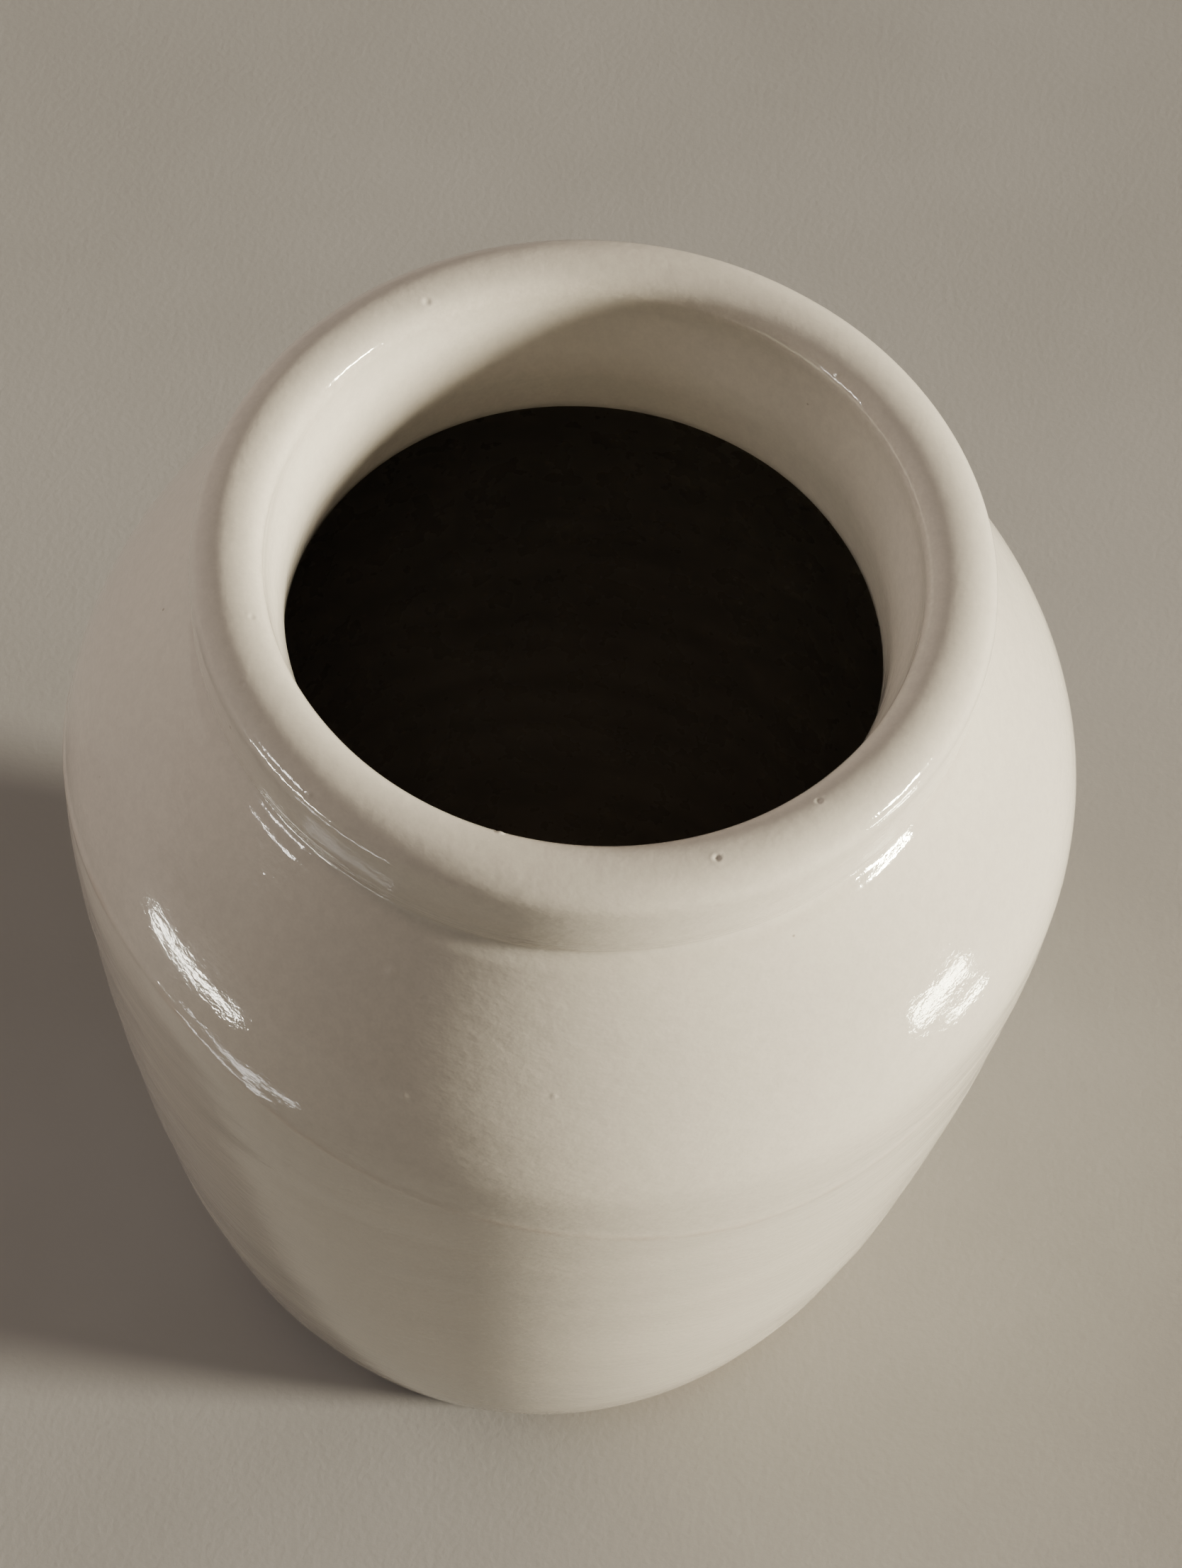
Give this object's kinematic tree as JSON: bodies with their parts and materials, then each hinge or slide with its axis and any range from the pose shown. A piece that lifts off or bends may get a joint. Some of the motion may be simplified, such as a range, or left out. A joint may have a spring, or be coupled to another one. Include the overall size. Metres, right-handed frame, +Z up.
{
  "type": "apothecary jar",
  "caption": "Wide-mouthed stoneware jar with a high round shoulder, a thick rounded rim and a short neck, white-glazed outside and dark-glazed inside.",
  "frame": {"origin": "centre of the foot ring, on the surface the jar stands on", "axes": "+Z up along the jar's axis; the jar is round, so +X and +Y are any two directions across it, with -Y towards the viewer"},
  "size_m": [0.147, 0.147, 0.178],
  "materials": {
    "clay": "bare fired stoneware, matt and slightly gritty",
    "white_glaze": "glossy opaque white glaze with a slight orange-peel ripple",
    "liner_glaze": "dark brown-black liner glaze, satin"
  },
  "bodies": {
    "root": {"clay_body": "clay", "white_glaze": "white_glaze", "liner_glaze": "liner_glaze"}
  },
  "joints": []
}
